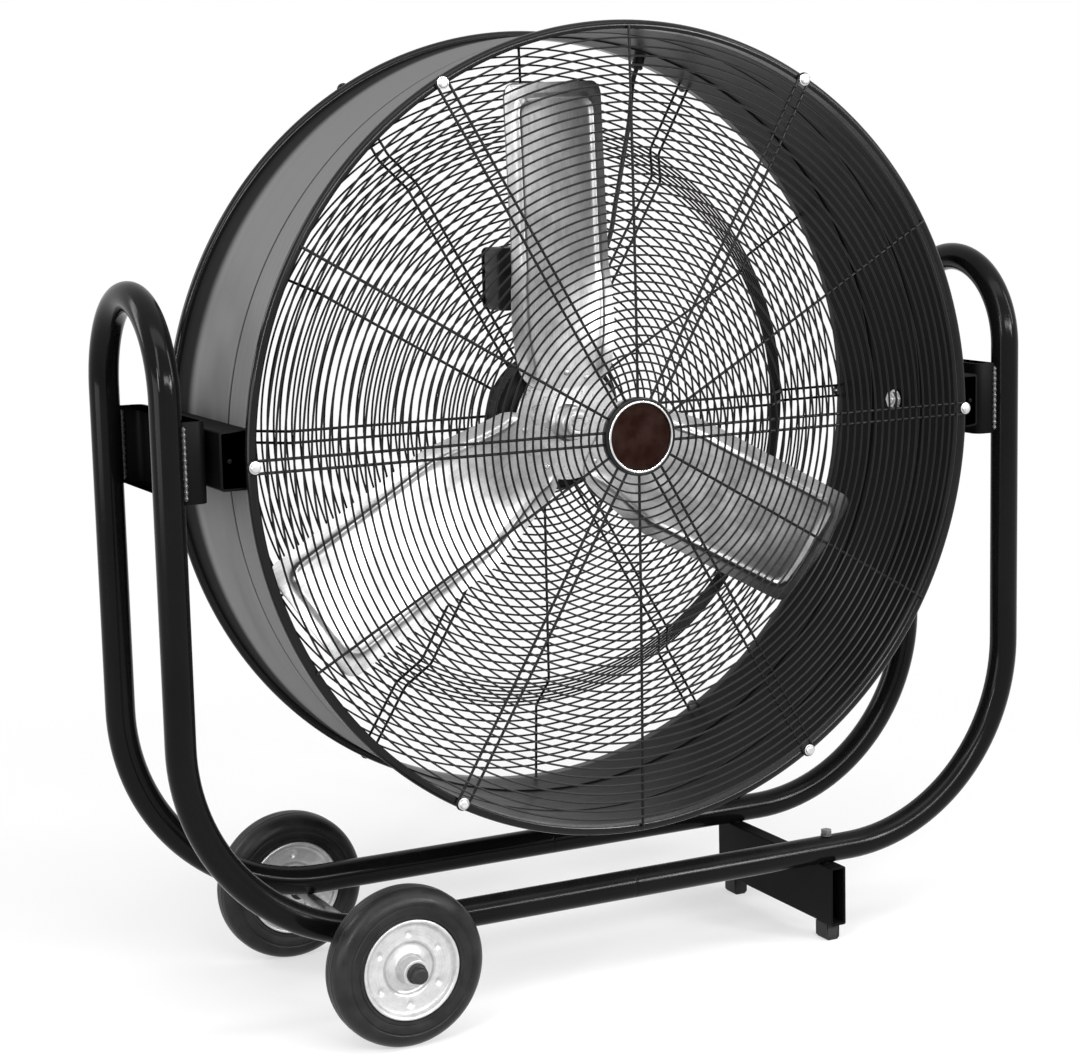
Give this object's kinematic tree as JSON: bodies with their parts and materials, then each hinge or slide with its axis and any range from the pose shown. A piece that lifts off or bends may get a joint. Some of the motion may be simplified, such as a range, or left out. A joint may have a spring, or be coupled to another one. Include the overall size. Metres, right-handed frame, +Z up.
{
  "type": "drum fan",
  "caption": "Large tilting drum fan with wire guards, on a round-tube frame with two wheels and a fixed foot.",
  "frame": {"origin": "on the floor, straight under the centre of the drum, in the middle of the footprint", "axes": "+Z up; -Y the way the air leaves (front guard); +X towards the foot, -X towards the wheels"},
  "size_m": [1.326, 0.524, 1.3183],
  "materials": {
    "frame_paint": "gloss black powder coat",
    "drum_paint": "gloss black paint on sheet steel",
    "guard_paint": "black coated wire",
    "black_rubber": "matt",
    "tyre_rubber": "matt rubber tread",
    "wheel_steel": "pale grey pressed steel",
    "blade_aluminium": "satin rolled sheet",
    "motor_paint": "semi-matt black",
    "badge_chrome": "bright",
    "badge_plastic": "dark brown, bare",
    "black_plastic": "fine grain",
    "lead_sheath": "smooth round sheath",
    "zinc_steel": "bright zinc plate"
  },
  "bodies": {
    "base": {"frame_left": "frame_paint", "frame_right": "frame_paint", "pivot_bracket_left": "frame_paint", "pivot_bracket_right": "frame_paint", "pivot_bolt_left": "zinc_steel", "pivot_bolt_right": "zinc_steel", "pivot_nut_left": "zinc_steel", "pivot_nut_right": "zinc_steel", "pivot_washer_left": "black_rubber", "pivot_washer_right": "black_rubber", "axle": "zinc_steel", "axle_cap_front": "black_plastic", "axle_cap_rear": "black_plastic", "foot_channel": "frame_paint", "foot_pad_front": "black_rubber", "foot_pad_rear": "black_rubber", "foot_bolt_front": "zinc_steel", "foot_bolt_rear": "zinc_steel"},
    "drum": {"drum_shell": "drum_paint", "drum_saddle_left": "frame_paint", "drum_saddle_right": "frame_paint", "front_guard": "guard_paint", "rear_guard": "guard_paint", "badge_ring": "badge_chrome", "badge_disc": "badge_plastic", "front_guard_screw_1": "zinc_steel", "front_guard_screw_2": "zinc_steel", "front_guard_screw_3": "zinc_steel", "front_guard_screw_4": "zinc_steel", "front_guard_screw_5": "zinc_steel", "front_guard_screw_6": "zinc_steel", "rear_guard_screw_1": "zinc_steel", "rear_guard_screw_2": "zinc_steel", "rear_guard_screw_3": "zinc_steel", "rear_guard_screw_4": "zinc_steel", "rear_guard_screw_5": "zinc_steel", "rear_guard_screw_6": "zinc_steel", "motor_plate": "motor_paint", "motor_shell": "motor_paint", "motor_front_bell": "motor_paint", "switch_box": "black_plastic", "switch_cover": "black_plastic", "lead_gland": "black_plastic", "supply_lead": "lead_sheath"},
    "rotor": {"motor_shaft": "zinc_steel", "rotor_hub": "zinc_steel", "shaft_collar": "zinc_steel", "blade_1": "blade_aluminium", "blade_2": "blade_aluminium", "blade_3": "blade_aluminium"},
    "front_wheel": {"tyre_front": "tyre_rubber", "wheel_front": "wheel_steel", "wheel_bush_front": "black_plastic"},
    "rear_wheel": {"tyre_rear": "tyre_rubber", "wheel_rear": "wheel_steel", "wheel_bush_rear": "black_plastic"},
    "knob": {"switch_knob": "black_plastic"}
  },
  "joints": [
    {"name": "drum_tilt", "type": "hinge", "parent": "base", "child": "drum", "pos_m": [0, 0, 0.7674], "axis": [1, 0, 0], "range_deg": [-90, 90]},
    {"name": "rotor_spin", "type": "hinge", "parent": "drum", "child": "rotor", "pos_m": [0, 0.038, 0.7674], "axis": [0, 1, 0], "continuous": true},
    {"name": "front_wheel_roll", "type": "hinge", "parent": "base", "child": "front_wheel", "pos_m": [-0.381, -0.208, 0.107], "axis": [0, 1, 0], "continuous": true},
    {"name": "rear_wheel_roll", "type": "hinge", "parent": "base", "child": "rear_wheel", "pos_m": [-0.381, 0.208, 0.107], "axis": [0, 1, 0], "continuous": true},
    {"name": "switch_turn", "type": "hinge", "parent": "drum", "child": "knob", "pos_m": [-0.022, 0.122, 0.9714], "axis": [0, 1, 0], "range_deg": [0, 90]}
  ]
}
